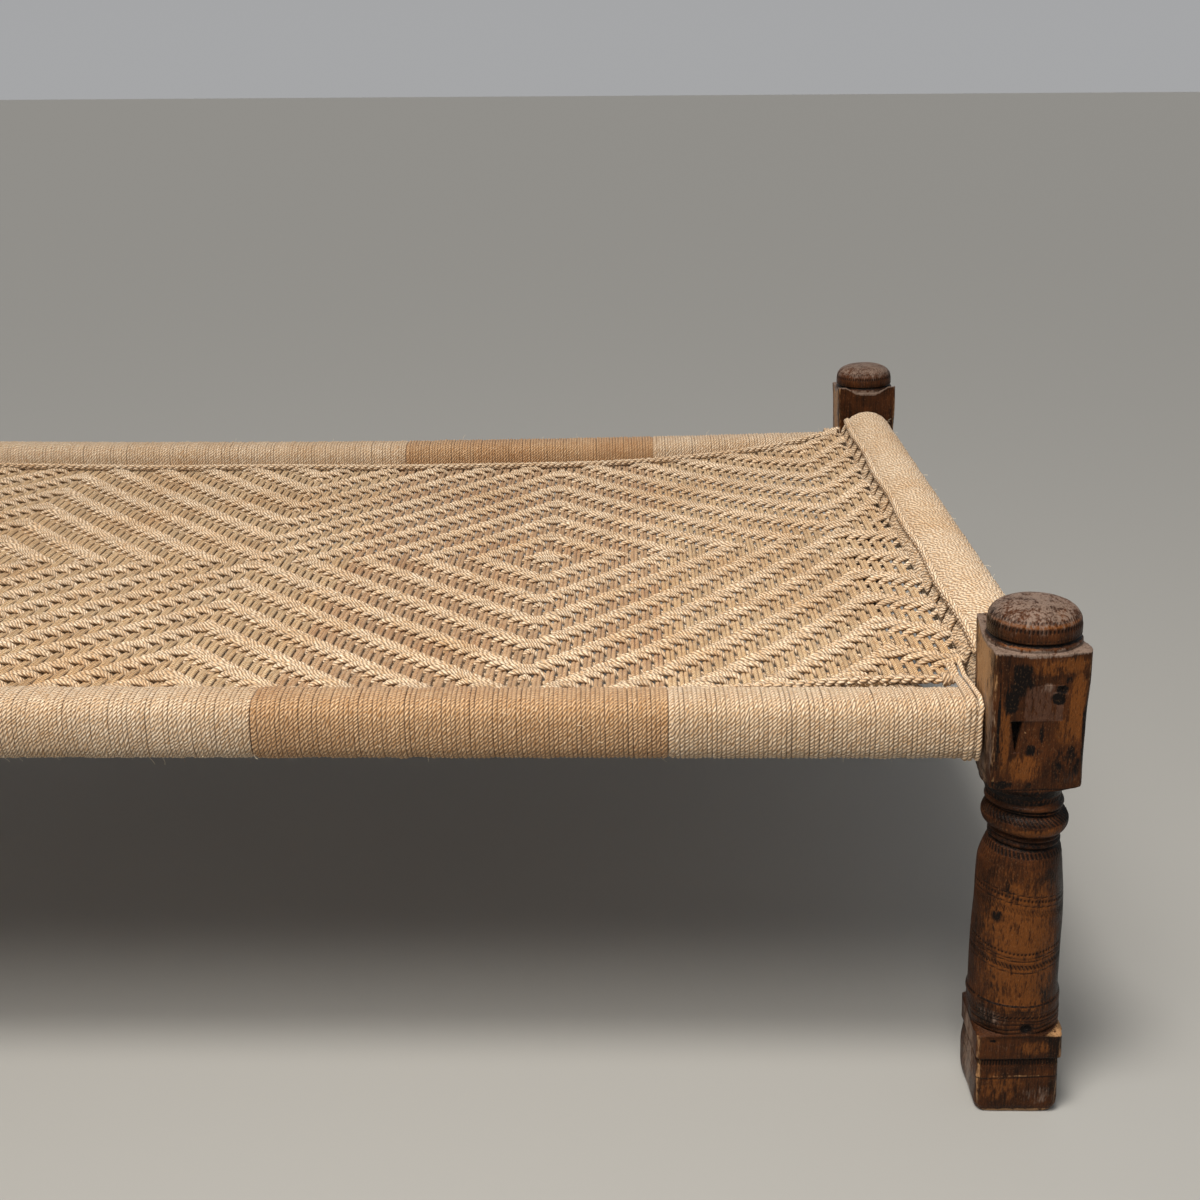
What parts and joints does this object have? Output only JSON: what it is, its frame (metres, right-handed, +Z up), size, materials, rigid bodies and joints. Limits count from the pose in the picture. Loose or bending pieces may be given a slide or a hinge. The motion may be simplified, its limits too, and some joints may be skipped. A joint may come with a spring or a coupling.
{
  "type": "charpai",
  "caption": "Low bed of turned hardwood legs and tenoned rails, bound in jute cord, with a diamond-twill woven cord mat tensioned by lacing at one end.",
  "frame": {"origin": "on the floor, under the middle of the bed", "axes": "+X along the bed to the closed end of the mat, +Y across the bed to the back, +Z up"},
  "size_m": [1.8422, 1.0752, 0.45],
  "materials": {
    "leg_wood": "old turned hardwood, dark waxed patina, worn to orange brown",
    "wedge_wood": "blackened old wood, rough",
    "rail_wood": "dressed pole, dry and matte",
    "pale_cord": "two-ply jute cord, dry and matte, pale straw",
    "brown_cord": "two-ply jute cord of a darker batch, matte",
    "lacing_cord": "laid jute cord, dry and matte"
  },
  "bodies": {
    "root": {"leg_front_right": "leg_wood", "wedge_front_right": "wedge_wood", "leg_front_left": "leg_wood", "wedge_front_left": "wedge_wood", "leg_back_right": "leg_wood", "wedge_back_right": "wedge_wood", "leg_back_left": "leg_wood", "wedge_back_left": "wedge_wood", "side_rail_front": "rail_wood", "binding_front_left": "pale_cord", "binding_front_brown": "brown_cord", "binding_front_right": "pale_cord", "selvedge_front": "pale_cord", "side_rail_back": "rail_wood", "binding_back_left": "pale_cord", "binding_back_brown": "brown_cord", "binding_back_right": "pale_cord", "selvedge_back": "pale_cord", "end_rail_right": "rail_wood", "end_rail_left": "rail_wood", "binding_end_right": "pale_cord", "selvedge_end_right": "pale_cord", "woven_mat": "pale_cord", "edge_rope": "pale_cord", "lacing": "lacing_cord", "lacing_hitch_front": "lacing_cord", "lacing_hitch_back": "lacing_cord"}
  },
  "joints": []
}
